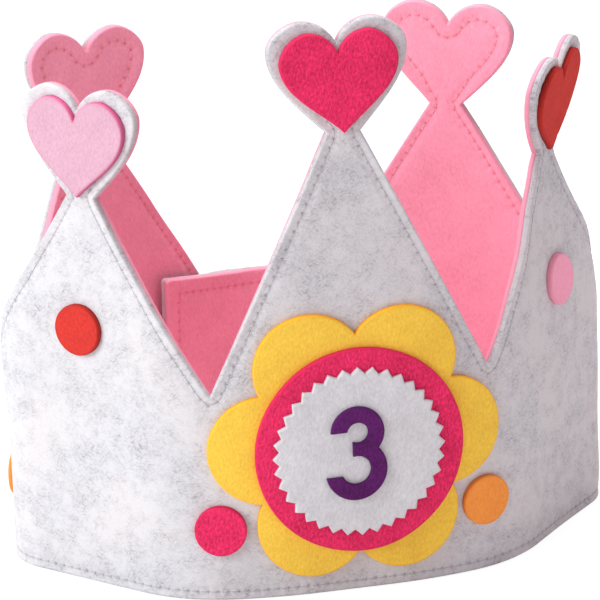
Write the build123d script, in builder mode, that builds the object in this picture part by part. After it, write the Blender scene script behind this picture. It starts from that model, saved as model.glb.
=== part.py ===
"""A felt birthday crown: a two-layer strip with five heart-topped points, bent round to an oval ring.

The strip's ends overlap at the back, and felt hearts, dots and a numbered flower are glued to its outside.
The front faces -Y, the floor is Z = 0, and the origin is on the floor in the middle of the crown.
"""

import os
from math import atan, cos, degrees, pi, radians, sin

from build123d import *

os.makedirs("parts", exist_ok=True)

# Felt: each layer of the strip, the thick pieces glued on it and the thin ones
felt = 2.0
patch = 2.0
thin_patch = 1.5

# Half of the loop along the strip's middle line, from the front's middle to the back's middle: the head size
half_loop = 253.7

# Plan of that half: each stretch as a share of it, and the turns in degrees
front_flat_share = 0.0445
shoulder_share = 0.1175
shoulder_turn = 11.7
corner_share = 0.1234
corner_turn = 36.5
side_flat_share = 0.1699
end_share = 0.1096
end_turn = 87.4
back_curve_share = 0.1624
back_curve_turn = 15.9
back_bend_share = 0.0773

# Overlap at the back: the left end lies outside, and the right end is tucked inside it
outer_end_length = 22.0
tuck_start = 17.0
tab_end_length = 27.0
tape_thickness = 1.2
tape_length = 40.0
tape_width = 25.0

# Points: pitch along the strip as a share of the half loop, heights, and the hearts that end them
point_pitch_share = 0.3638
valley_height = 71.8
front_right_valley_shift = 2.6
end_height = 74.6
neck_height = 134.8
neck_half = 5.7
front_rise = 23.9
heart_half = 22.9
heart_height = 36.6
heart_notch = 7.4
lobe_half = 11.6
lobe_drop = 9.7
flank_lean = 42

# Hearts glued on the points are smaller all round by this margin
heart_margin = 3.5

# Flower on the front point, with its disc, zigzag disc and number, each a little off the point's middle
flower_height = 52.7
flower_shift = 1.6
disc_height = 50.5
disc_shift = 2.1
pinked_shift = 1.4
digit_shift = 0.1
petal_count = 6
petal_ring_radius = 31.0
petal_radius = 18.9
disc_radius = 35.4
pinked_radius = 29.3
pinked_depth = 2.1
pinked_teeth = 36
digit_height = 32.5
upper_bowl_radius = 9.05
lower_bowl_radius = 10.45
bowl_shift = 0.6
stroke = 5.5
bar_reach = 1.4
terminal_gap = 15.4

# Dots under the four lower points and under the four valleys beside them, some of them glued off the middle
dot_radius = 8.7
high_dot_height = 89.5
low_dot_height = 25.1
left_dot_shift = -1.1
front_left_dot_shift = 1.9
left_end_dot_shift = -5.0

# Overrun of cutting shapes past what they cut
overrun = 3.0

# Sizes that follow from those
front_flat = half_loop * front_flat_share
shoulder_length = half_loop * shoulder_share
corner_length = half_loop * corner_share
side_flat = half_loop * side_flat_share
end_length = half_loop * end_share
back_curve_length = half_loop * back_curve_share
back_bend_length = half_loop * back_bend_share
point_pitch = half_loop * point_pitch_share
tuck = 2 * felt + 2 * tape_thickness
heart_top = neck_height + heart_height
stack = felt + 2 * patch + 2 * thin_patch
back_bend_turn = 180 - shoulder_turn - corner_turn - end_turn - back_curve_turn
back_bend_radius = back_bend_length / radians(back_bend_turn)
foot = 5 * point_pitch / 2
edge_shares = (0, 0.25, 0.5, 0.75, 1)
straight_turn = 1e-6


def walk(legs, start=(0, 0, 0)):
    """Places and headings at the ends of a chain of tangent lines and arcs, each a length and a turn."""
    stops = [start]
    for length, turn in legs:
        x, y, heading = stops[-1]
        chord = length if turn == 0 else 2 * length / radians(turn) * sin(radians(turn / 2))
        x += chord * cos(radians(heading + turn / 2))
        y += chord * sin(radians(heading + turn / 2))
        stops.append((x, y, heading + turn))
    return stops


def trim(legs, stop):
    """The legs of a chain up to a length along it."""
    kept = []
    for length, turn in legs:
        run = min(length, stop)
        if run > 0:
            kept.append((run, turn * run / length))
        stop -= length
    return kept


def leg_ends(legs):
    """Lengths along a chain at which its legs end."""
    return [sum(length for length, turn in legs[: count + 1]) for count in range(len(legs))]


# Both halves start alike, and the straight length at the back closes the loop on the middle line
lead_legs = [
    (front_flat, 0),
    (shoulder_length, shoulder_turn),
    (corner_length, corner_turn),
    (side_flat, 0),
    (end_length, end_turn),
    (back_curve_length, back_curve_turn),
]
back_bend = (back_bend_length, back_bend_turn)
open_x = walk(lead_legs + [back_bend])[-1][0]
back_flat = open_x / -cos(radians(180 - back_bend_turn))
loop_depth = walk(lead_legs + [(back_flat, 0), back_bend])[-1][1]
front_line = (loop_depth + felt - stack) / 2

# The left half runs on past the middle of the back along the same bend
outer_bend = back_bend_length + outer_end_length
left_legs = lead_legs + [(back_flat, 0), (outer_bend, back_bend_turn * outer_bend / back_bend_length)]

# The right half takes an S bend to the inside of the left end, and then follows it
tuck_length = back_flat - tuck_start
tuck_turn = 2 * degrees(atan(tuck / tuck_length))
tuck_arc = tuck_length / 2 / sin(radians(tuck_turn)) * radians(tuck_turn)
inner_bend_turn = 2 * back_bend_turn
inner_bend = (back_bend_radius - tuck) * radians(inner_bend_turn)
right_legs = lead_legs + [
    (tuck_start, 0),
    (tuck_arc, tuck_turn),
    (tuck_arc, -tuck_turn),
    (inner_bend, inner_bend_turn),
    (tab_end_length, 0),
]
left_end = -leg_ends(left_legs)[-1]
right_end = leg_ends(right_legs)[-1]
breaks = sorted([-run for run in leg_ends(left_legs)] + leg_ends(right_legs))


def place(run):
    """Place and heading on the strip's middle line, where runs left of the front's middle are negative."""
    legs = left_legs if run < 0 else right_legs
    side = -1 if run < 0 else 1
    x, y, heading = walk(trim(legs, abs(run)))[-1]
    return side * x, y - front_line, side * heading


def panel(run):
    """Upright plane on the strip's middle line at a run, with its normal outwards."""
    x, y, heading = place(run)
    along = (cos(radians(heading)), sin(radians(heading)), 0)
    outward = (sin(radians(heading)), -cos(radians(heading)), 0)
    return Plane(origin=(x, y, 0), x_dir=along, z_dir=outward)


def across(station, run):
    """Place of a run, measured along the panel of a station."""
    x, y, heading = place(run)
    return panel(station).to_local_coords(Vector(x, y, 0)).X


def draw_rail(start, stop, offset):
    """Line at an offset outwards from the strip's middle line, and its two ends."""
    runs = [start] + [run for run in breaks if start < run < stop] + [stop]
    points = []
    headings = []
    for run in runs:
        x, y, heading = place(run)
        points.append((x + offset * sin(radians(heading)), y - offset * cos(radians(heading))))
        headings.append(heading)
    for count in range(len(runs) - 1):
        ends = points[count : count + 2]
        tangent = (cos(radians(headings[count])), sin(radians(headings[count])))
        if abs(headings[count + 1] - headings[count]) < straight_turn:
            Line(*ends)
        else:
            TangentArc(*ends, tangent=tangent)
    return points[0], points[-1]


def strip_face(start, stop, low, high):
    """Plan of one layer of the strip between two runs and two offsets."""
    with BuildLine() as plan:
        low_start, low_stop = draw_rail(start, stop, low)
        high_start, high_stop = draw_rail(start, stop, high)
        Line(low_start, high_start)
        Line(low_stop, high_stop)
    make_face(plan.edges())


def draw_heart(tip_half, tip_height, margin, rise):
    """Outline of a heart from its tip, or from a neck as wide as the tip."""
    top = heart_top + rise - margin
    wide = heart_half - margin
    lobe = lobe_half * wide / heart_half
    for side in (-1, 1):
        tip = (side * tip_half, tip_height)
        flank = (side * wide, top - lobe_drop)
        crown = (side * lobe, top)
        lean = (side * sin(radians(flank_lean)), cos(radians(flank_lean)))
        Spline(tip, flank, tangents=(lean, (0, 1)))
        Spline(flank, crown, tangents=((0, 1), (-side, 0)))
        TangentArc(crown, (0, top - heart_notch), tangent=(-side, 0))


def draw_point(station, rise, left_foot, right_foot):
    """Outline of one point on its panel: its sides, straight in the flat strip, and the heart on its neck."""
    neck = neck_height + rise
    base = []
    for side, side_foot in ((-1, left_foot), (1, right_foot)):
        edge = []
        for share in edge_shares:
            run = side_foot + (station + side * neck_half - side_foot) * share
            edge.append((across(station, run), valley_height + (neck - valley_height) * share))
        edge[-1] = (side * neck_half, neck)
        Spline(*edge)
        base.append((edge[0][0], 0))
        Line(edge[0], base[-1])
    Line(*base)
    draw_heart(neck_half, neck, 0, rise)


# Runs of the five points with how much higher each one stands, and of the valleys between them
points = {
    "back_left": (-2 * point_pitch, 0),
    "left": (-point_pitch, 0),
    "front": (0, front_rise),
    "right": (point_pitch, 0),
    "back_right": (2 * point_pitch, 0),
}
left_end_valley = -3 * point_pitch / 2
front_left_valley = -point_pitch / 2
front_right_valley = point_pitch / 2
right_end_valley = 3 * point_pitch / 2
cut_valley = front_right_valley + front_right_valley_shift
feet = [-foot, left_end_valley, front_left_valley, cut_valley, right_end_valley, foot]

# Cutting pattern of the five points, each cut square to its own panel
with BuildPart() as pattern:
    for (station, rise), left_foot, right_foot in zip(points.values(), feet, feet[1:]):
        with BuildSketch(panel(station)):
            with BuildLine():
                draw_point(station, rise, left_foot, right_foot)
            make_face()
        extrude(amount=point_pitch / 4, both=True)


def strip_layer(label, low, high):
    """One layer of the strip: the cut points, the band below them and both overlapping ends."""
    with BuildPart() as layer:
        with BuildSketch():
            strip_face(-foot, foot, low, high)
        extrude(amount=heart_top + front_rise + overrun)
        add(pattern.part, mode=Mode.INTERSECT)
        with BuildSketch():
            strip_face(left_end, right_end, low, high)
        extrude(amount=valley_height)
        for start, stop in ((left_end, overrun - foot), (foot - overrun, right_end)):
            with BuildSketch():
                strip_face(start, stop, low, high)
            extrude(amount=end_height)
    layer.part.label = label
    export_step(layer.part, f"parts/{label}.step")


strip_layer("outer_felt", 0, felt)
strip_layer("inner_lining", -felt, 0)


def glued_piece(label, station, low, thickness, half_width, bottom, top, draw):
    """One felt piece glued to the outside: a layer of the wall, cut square to its panel."""
    with BuildPart() as piece:
        with BuildSketch(Plane.XY.offset(bottom - overrun)):
            strip_face(station - half_width - overrun, station + half_width + overrun, low, low + thickness)
        extrude(amount=top - bottom + 2 * overrun)
        with BuildSketch(panel(station)):
            draw()
        extrude(amount=half_width, both=True, mode=Mode.INTERSECT)
    piece.part.label = label
    export_step(piece.part, f"parts/{label}.step")


# A heart on each point
for name, (station, rise) in points.items():

    def small_heart():
        """Outline of a glued-on heart, with its tip on the point's neck."""
        with BuildLine() as outline:
            draw_heart(0, neck_height + rise, heart_margin, rise)
        make_face(outline.edges())

    heart_bottom = neck_height + rise
    glued_piece(f"heart_{name}", station, felt, patch, heart_half, heart_bottom, heart_top + rise, small_heart)


# A dot under each point but the front one, and under each valley
def dot_at(height):
    """Drawing of a dot at a height."""

    def draw():
        with Locations((0, height)):
            Circle(dot_radius)

    return draw


dots = [
    ("dot_left_point", left_dot_shift - point_pitch, high_dot_height),
    ("dot_right_point", point_pitch, high_dot_height),
    ("dot_back_left_point", -2 * point_pitch, high_dot_height),
    ("dot_back_right_point", 2 * point_pitch, high_dot_height),
    ("dot_left_end_valley", left_end_valley + left_end_dot_shift, low_dot_height),
    ("dot_front_left_valley", front_left_valley + front_left_dot_shift, low_dot_height),
    ("dot_front_right_valley", front_right_valley, low_dot_height),
    ("dot_right_end_valley", right_end_valley, low_dot_height),
]
for label, station, height in dots:
    bottom = height - dot_radius
    top = height + dot_radius
    glued_piece(label, station, felt, patch, dot_radius, bottom, top, dot_at(height))


# The flower and what is glued on it, each layer on the one before
def flower_outline():
    """Six round petals about the flower's middle."""
    with Locations((0, flower_height)):
        Circle(petal_ring_radius)
        with PolarLocations(petal_ring_radius, petal_count):
            Circle(petal_radius)


def disc_outline():
    """Plain round disc."""
    with Locations((0, disc_height)):
        Circle(disc_radius)


def pinked_outline():
    """Disc cut with pinking shears: a zigzag between two radii."""
    corners = []
    for count in range(2 * pinked_teeth):
        radius = pinked_radius - pinked_depth * (count % 2)
        angle = pi * count / pinked_teeth
        corners.append((radius * cos(angle), disc_height + radius * sin(angle)))
    with BuildLine() as outline:
        Polyline(*corners, close=True)
    make_face(outline.edges())


def digit_outline():
    """Numeral three: two bowls that share a bar, open on the left."""
    upper = (bowl_shift / 2, disc_height + digit_height / 2 - upper_bowl_radius)
    lower = (-bowl_shift / 2, disc_height - digit_height / 2 + lower_bowl_radius)
    with Locations(upper):
        Circle(upper_bowl_radius)
    with Locations(lower):
        Circle(lower_bowl_radius)
    with Locations(upper):
        Circle(upper_bowl_radius - stroke, mode=Mode.SUBTRACT)
    with Locations(lower):
        Circle(lower_bowl_radius - stroke, mode=Mode.SUBTRACT)
    with Locations((-bar_reach, disc_height)):
        Rectangle(2 * lower_bowl_radius, terminal_gap, align=(Align.MAX, Align.CENTER), mode=Mode.SUBTRACT)


petal_reach = petal_ring_radius + petal_radius
flower_layers = [
    ("flower", flower_shift, flower_height, patch, petal_reach, flower_outline),
    ("medallion_disc", disc_shift, disc_height, patch, disc_radius, disc_outline),
    ("pinked_disc", pinked_shift, disc_height, thin_patch, pinked_radius, pinked_outline),
    ("digit_three", digit_shift, disc_height, thin_patch, digit_height / 2, digit_outline),
]
low = felt
for label, station, height, thickness, reach, draw in flower_layers:
    glued_piece(label, station, low, thickness, reach, height - reach, height + reach, draw)
    low += thickness


# Two tapes that fasten the ends: one on the lining of the outer end, one on the felt of the tucked end
overlap = outer_bend + tab_end_length
tape_start = left_end + (overlap - tape_length) / 2
tapes = [("loop_tape", -felt - tape_thickness), ("hook_tape", -felt - 2 * tape_thickness)]
for label, offset in tapes:
    with BuildPart() as tape:
        with BuildSketch(Plane.XY.offset((end_height - tape_width) / 2)):
            strip_face(tape_start, tape_start + tape_length, offset, offset + tape_thickness)
        extrude(amount=tape_width)
    tape.part.label = label
    export_step(tape.part, f"parts/{label}.step")
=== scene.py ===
"""Looks of a felt birthday crown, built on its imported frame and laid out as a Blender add-on.

Each felt piece is cut as a flat pattern, where one axis runs along the strip and the other is its height,
and is then wrapped round the crown's oval plan. The seams are single stitches of thread.
"""

from math import atan, ceil, cos, pi, radians, sin

import bpy
import numpy as np
from bpy.props import FloatProperty, FloatVectorProperty, IntProperty, PointerProperty
from mathutils import Matrix, Vector
from mathutils.geometry import delaunay_2d_cdt
from mathutils.kdtree import KDTree


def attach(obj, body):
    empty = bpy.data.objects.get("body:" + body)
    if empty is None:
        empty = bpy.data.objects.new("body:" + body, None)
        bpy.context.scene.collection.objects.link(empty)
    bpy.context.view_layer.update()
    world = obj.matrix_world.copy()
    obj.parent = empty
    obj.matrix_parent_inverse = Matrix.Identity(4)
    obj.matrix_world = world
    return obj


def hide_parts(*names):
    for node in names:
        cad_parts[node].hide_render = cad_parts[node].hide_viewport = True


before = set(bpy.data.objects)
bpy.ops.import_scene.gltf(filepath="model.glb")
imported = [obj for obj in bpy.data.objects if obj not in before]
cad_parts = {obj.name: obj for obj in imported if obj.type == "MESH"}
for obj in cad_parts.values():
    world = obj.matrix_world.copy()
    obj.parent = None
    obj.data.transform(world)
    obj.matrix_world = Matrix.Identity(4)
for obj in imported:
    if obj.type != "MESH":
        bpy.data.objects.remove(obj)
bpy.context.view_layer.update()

bl_info = {
    "name": "Felt birthday crown",
    "version": (1, 0, 0),
    "blender": (4, 5, 0),
    "location": "3D View > Sidebar > Crown",
    "description": "Dresses the packed crown in felt, thread and closure tape",
    "category": "Object",
}

MM = 0.001
POINT_NAMES = ("back_left", "left", "front", "right", "back_right")

# Fineness of the strip's middle line, and how far to either side of a station a panel is searched
LINE_STEP, PANEL_REACH, PANEL_PLACES = 0.05 * MM, 70 * MM, 2801
# Spacing of places on the pieces' outlines, and sides of the round ones
STRIP_STEP, HEART_STEP, FLOWER_STEP = 0.85 * MM, 0.8 * MM, 0.9 * MM
ZIGZAG_STEP, DIGIT_STEP, TAPE_STEP = 0.6 * MM, 0.7 * MM, 0.9 * MM
DOT_SIDES, DISC_SIDES = 90, 270
# How sheets are meshed: rings inside the edge and spacing of the rest in millimetres, and how much of the
# thickness is left at the rounded edge
STRIP_MESH = ((0.15, 0.4, 0.8, 1.4, 2.0, 2.5, 3.0, 3.5, 4.0, 4.5, 5.0, 5.5, 6.2), 2.4, 0.35)
PATCH_MESH = ((0.15, 0.4, 0.75, 1.3, 2.2), 2.2, 0.62)
TAPE_MESH = ((0.15, 0.4, 0.8, 1.6), 2.0, 0.7)
BACK_SPACING, BACK_MARGIN = 7 * MM, 4 * MM
CLOSEST_PLACES = 0.25 * MM
# Needle holes, cut edges and nap of the felt; HOLE_SPREAD and RIM_FADE are how far the holes' dent and
# painted shade and the edges' painted shade reach
HOLE_RADIUS, HOLE_SPREAD = 0.45 * MM, 0.42 * MM
RIM_FADE, CORNER_ROUND, PATCH_SUNK = 0.35 * MM, 1.6 * MM, 0.15 * MM
FELT_NAP = 0.25 * MM
LONGEST_STITCH, STITCH_DIVE, STITCH_LIFT = 6 * MM, 0.5 * MM, 0.62 * MM
# Felts of the patches: colour, the cut edge's painted shade as a share of it or a colour of its own, and
# grain contrast
PATCH_FELTS = {
    "raspberry_felt": ("raspberry", 0.75, 0.4),
    "pale_pink_felt": ("pale_pink", "#CF5A86", 0.12),
    "red_felt": ("red", 0.7, 0.18),
    "orange_felt": ("orange", 0.8, 0.14),
    "pink_felt": ("pink", 0.8, 0.1),
    "yellow_felt": ("yellow", "#F7A92B", 0.16),
    "white_felt": ("white", 0.9, 0.13),
    "purple_felt": ("purple", 0.75, 0.4),
}
# How softly the strip's bends set in: heights over the valley or the neck, and lengths along the strip
LEAN_EASE, BOW_START, BOW_EASE, SLANT_EASE = 12 * MM, 5 * MM, 4 * MM, 6 * MM
TWIST_START, TWIST_EASE, WAVE_EASE = 35 * MM, 40 * MM, 12 * MM
TAB_REACH, END_REACH, END_EASE = 33 * MM, 60 * MM, 3 * MM
FLARE_REACH, FLARE_FADE = 32 * MM, 45 * MM
SWELL_STATION, SWELL_REACH, SWELL_FADE = 123 * MM, 24 * MM, 30 * MM
# Where the seam moves further in: above a heart's neck, and before and along the strip's ends
SEAM_HEART_EASE, SEAM_END_LEAD, SEAM_END_EASE = 8 * MM, 4 * MM, 10 * MM
# The lining: share of its colour painted on the cut edge as shade, contrast, depth of the press marks, and
# colour of the painted shade at the needle holes
LINING_FELT = (0.85, 0.12, 1.6, "#D63A5C")
# Soft waves of the felt: lengths along and up in millimetres, and phase
WAVES = ((61, 90, 0.4), (43, -55, 2.1), (29, 47, 4.0), (97, 38, 5.2))
# A large cool window light from the left, a soft one overhead and a faint one from above the back
LAMPS = (
    ("window", (-1.7, -0.4, 1.0), 1.1, 33.0, "#F1FEFF"),
    ("top", (0.0, 0.3, 2.0), 1.2, 35.7, "#FFFFFF"),
    ("back", (0.3, 1.6, 1.3), 1.5, 9.0, "#FFFFFF"),
)
LAMP_AIM = (0, 0, 0.09)
ROOM_TINT, ROOM_LEVEL = "#FFF2F8", 0.473
FLOOR_REACH = 6.0
# Azimuth, elevation and roll in degrees, and target and distance in millimetres
CAMERA_ANGLES = (-13.33, 18.604, -1.749)
CAMERA_TARGET, CAMERA_DISTANCE = (-17.02, -66.29, 104.72), 1370.96
CAMERA_LENS, CAMERA_SENSOR, CAMERA_CLIP = 254.0, 36.0, 50.0


# Settings


def linear(hex_colour):
    """An sRGB hex colour as linear red, green and blue."""
    parts = [int(hex_colour[at : at + 2], 16) / 255 for at in (1, 3, 5)]
    return tuple(part / 12.92 if part <= 0.04045 else ((part + 0.055) / 1.055) ** 2.4 for part in parts)


def length(label, description, millimetres):
    """A length setting, written in millimetres and kept in metres."""
    metres = millimetres * MM
    return FloatProperty(name=label, description=description, default=metres, unit="LENGTH", precision=5)


def turn(label, description, degrees):
    """An angle setting, written in degrees."""
    return FloatProperty(name=label, description=description, default=radians(degrees), subtype="ANGLE")


def shares(label, description, values):
    """A setting for each of the five points, from the back left one round to the back right one."""
    return FloatVectorProperty(name=label, description=description, size=5, default=values, precision=3)


def colour(label, description, hex_colour):
    """A colour setting, written as sRGB hex."""
    value = linear(hex_colour)
    return FloatVectorProperty(
        name=label, description=description, default=value, size=3, min=0, max=1, subtype="COLOR"
    )


class CrownPlanSettings(bpy.types.PropertyGroup):
    """Thicknesses, and the plan of the strip's middle line from the front's middle to the back's middle."""

    felt: length("Felt", "Thickness of each layer of the strip", 2.0)
    patch: length("Patch", "Thickness of the hearts, dots, flower and plain disc", 2.0)
    thin_patch: length("Thin patch", "Thickness of the zigzag disc and the number", 1.5)
    front_flat: length("Front flat", "Half of the straight run at the front", 11.29)
    shoulder_length: length("Shoulder", "Length of the gentle bend beside the flower", 29.81)
    shoulder_turn: turn("Shoulder turn", "Turn of the gentle bend beside the flower", 11.7)
    corner_length: length("Corner", "Length of the bend at the front corner", 31.307)
    corner_turn: turn("Corner turn", "Turn of the bend at the front corner", 36.5)
    side_flat: length("Side flat", "Straight run on the side", 43.104)
    end_length: length("End", "Length of the tight bend at the oval's end", 27.806)
    end_turn: turn("End turn", "Turn of the tight bend at the oval's end", 87.4)
    back_curve_length: length("Back curve", "Length of the gentle bend after the end", 41.201)
    back_curve_turn: turn("Back curve turn", "Turn of the gentle bend after the end", 15.9)
    back_bend_length: length("Back bend", "Length of the bend up to the back's middle", 19.611)
    outer_end_length: length("Outer end", "Reach of the left end past the back's middle", 22.0)
    tuck_start: length("Tuck start", "Straight run before the right end bends inwards", 17.0)
    tab_end_length: length("Tab end", "Straight run at the tip of the right end", 27.0)
    tape_thickness: length("Tape", "Thickness of each closure tape", 1.2)
    tape_length: length("Tape length", "Length of the closure tapes", 40.0)
    tape_width: length("Tape width", "Width of the closure tapes", 25.0)
    tape_rim: length("Tape rim", "Rounding of the tapes' edges", 0.3)


class CrownPointSettings(bpy.types.PropertyGroup):
    """The five heart-topped points and the dots."""

    pitch: length("Pitch", "Distance between neighbouring points along the strip", 92.296)
    valley_height: length("Valley height", "Height of the strip between points", 71.8)
    valley_shift: length("Valley shift", "How far the front right valley is cut off the middle", 2.6)
    end_height: length("End height", "Height of the strip at its two ends", 74.6)
    neck_height: length("Neck height", "Height of the neck under a heart", 134.8)
    neck_half: length("Neck half", "Half of the neck's width", 5.7)
    front_rise: length("Front rise", "How much higher the front point stands", 23.9)
    heart_half: length("Heart half", "Half of a heart's width", 22.9)
    heart_height: length("Heart height", "Height of a heart above its neck", 36.6)
    heart_notch: length("Heart notch", "Depth of the notch between the lobes", 7.4)
    lobe_half: length("Lobe half", "Place of a lobe's top from the middle", 11.6)
    lobe_drop: length("Lobe drop", "Drop from the lobe's top to the widest place", 9.7)
    flank_lean: turn("Flank lean", "Lean of the flank where it leaves the neck", 42)
    heart_margin: length("Heart margin", "How much smaller the glued-on hearts are all round", 3.5)
    dot_radius: length("Dot radius", "Radius of the dots", 8.7)
    high_dot: length("High dot", "Height of the dots under the points", 89.5)
    low_dot: length("Low dot", "Height of the dots under the valleys", 25.1)
    left_dot_shift: length("Left dot shift", "Shift of the left point's dot", -1.1)
    front_left_dot_shift: length("Front left dot shift", "Shift of the front left valley's dot", 1.9)
    left_end_dot_shift: length("Left end dot shift", "Shift of the left end valley's dot", -5.0)


class CrownHandlingSettings(bpy.types.PropertyGroup):
    """How far the soft felt has gone out of true by handling."""

    leans: shares("Leans", "Outward lean of each point", (0.081, -0.039, 0.006, -0.092, 0.006))
    slants: shares("Slants", "Sideways tilt of each heart", (-0.045, -0.015, -0.032, -0.082, -0.055))
    bows: shares("Bows", "Outward lean of each heart above its neck", (-0.013, 0.005, -0.1, 0.303, -0.028))
    twists: shares("Twists", "Turn of each heart about its neck", (0.16, -0.003, 0.053, -0.107, -0.07))
    tab_rise: FloatProperty(name="Tab rise", description="Slope of the tucked end's top edge", default=0.16)
    end_fall: FloatProperty(name="End fall", description="Slope of the outer end's top edge", default=0.07)
    left_flare: length("Left flare", "How far the strip curls outwards at the left end's valley", 2.0)
    right_swell: length("Right swell", "How far the wall swells outwards behind the right point", 1.3)
    wobble: length("Wobble", "Height of the soft waves in the felt", 0.25)


class CrownFlowerSettings(bpy.types.PropertyGroup):
    """The flower on the front point, with its discs and its number."""

    height: length("Height", "Height of the flower's middle", 52.7)
    shift: length("Shift", "How far the flower sits right of the front's middle", 1.6)
    disc_height: length("Disc height", "Height of the middle of the discs and the number", 50.5)
    disc_shift: length("Disc shift", "How far the plain disc sits right of the front's middle", 2.1)
    pinked_shift: length("Zigzag shift", "How far the zigzag disc sits right of the front's middle", 1.4)
    digit_shift: length("Number shift", "How far the number sits right of the front's middle", 0.1)
    petals: IntProperty(name="Petals", description="Number of petals", default=6, min=3)
    petal_ring: length("Petal ring", "Distance of the petals' middles from the flower's middle", 31.0)
    petal_radius: length("Petal radius", "Radius of a petal", 18.9)
    disc_radius: length("Disc radius", "Radius of the plain disc", 35.4)
    pinked_radius: length("Zigzag radius", "Radius of the zigzag disc at its teeth", 29.3)
    pinked_depth: length("Zigzag depth", "Depth of the teeth", 2.1)
    pinked_teeth: IntProperty(name="Teeth", description="Teeth round the zigzag disc", default=36, min=3)
    digit_height: length("Number height", "Height of the number", 32.5)
    upper_bowl: length("Upper bowl", "Outer radius of the number's upper bowl", 9.05)
    lower_bowl: length("Lower bowl", "Outer radius of the number's lower bowl", 10.45)
    bowl_shift: length("Bowl shift", "Sideways shift between the bowls", 0.6)
    stroke: length("Stroke", "Width of the number's stroke", 5.5)
    bar_reach: length("Bar reach", "Reach of the middle bar left of the middle", 1.4)
    terminal_gap: length("Terminal gap", "Height of the opening between the number's ends", 15.4)


class CrownSewingSettings(bpy.types.PropertyGroup):
    """The seam round the strip and the felt's cut edges."""

    inset: length("Seam inset", "Distance of the seam from the felt's edge", 3.0)
    end_inset: length("End inset", "Distance of the seam from the edge of hearts and ends", 5.1)
    pitch: length("Stitch pitch", "Distance between needle holes", 3.3)
    thread: length("Thread", "Thickness of the sewing thread", 0.3)
    groove_depth: length("Groove depth", "How far the seam pulls the felt in", 0.3)
    groove_width: length("Groove width", "Half width of the seam's groove", 0.9)
    hole_depth: length("Hole depth", "How much further the felt goes in at a needle hole", 0.35)
    strip_rim: length("Strip rim", "Rounding of the strip's cut edges", 0.6)
    patch_rim: length("Patch rim", "Rounding of the patches' cut edges", 0.45)


class CrownColourSettings(bpy.types.PropertyGroup):
    """Colours of the felts and threads."""

    grey: colour("Grey felt", "Light fibres of the mottled felt", "#D7D1D3")
    grey_fleck: colour("Grey fleck", "Dark fibres of the mottled felt", "#80787F")
    lining: colour("Lining", "Pink lining felt", "#F8A3B8")
    raspberry: colour("Raspberry", "Raspberry felt", "#EE3060")
    pale_pink: colour("Pale pink", "Pale pink felt", "#CEA0B1")
    red: colour("Red", "Red felt", "#C83730")
    yellow: colour("Yellow", "Yellow felt", "#FDC64B")
    white: colour("White", "White felt", "#D3D0D3")
    purple: colour("Purple", "Purple felt", "#5A205F")
    orange: colour("Orange", "Orange felt", "#FF9848")
    pink: colour("Pink", "Pink felt of two dots", "#FFA7BF")
    grey_thread: colour("Grey thread", "Thread on the outside", "#BDB7BF")
    coral_thread: colour("Coral thread", "Thread on the inside", "#F0A0A8")
    tape: colour("Tape", "Closure tape", "#F2F0EE")


GROUPS = {
    "crown_plan": CrownPlanSettings,
    "crown_points": CrownPointSettings,
    "crown_handling": CrownHandlingSettings,
    "crown_flower": CrownFlowerSettings,
    "crown_sewing": CrownSewingSettings,
    "crown_colours": CrownColourSettings,
}


# The strip's plan and its wrapped surface


def half_line(legs):
    """Runs, places and headings along one half of the strip, from legs of length and turn."""
    ends = np.concatenate([[0], np.cumsum([run for run, angle in legs])])
    turns = np.concatenate([[0], np.cumsum([angle for run, angle in legs])])
    runs = np.linspace(0, ends[-1], ceil(ends[-1] / LINE_STEP))
    headings = np.interp(runs, ends, turns)
    middles = (headings[1:] + headings[:-1]) / 2
    x = np.concatenate([[0], np.cumsum(np.cos(middles)) * runs[1]])
    y = np.concatenate([[0], np.cumsum(np.sin(middles)) * runs[1]])
    return runs, x, y, headings


def smooth_step(values):
    """Nought below 0, one above 1, and smooth between."""
    values = np.clip(values, 0, 1)
    return values * values * (3 - 2 * values)


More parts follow.
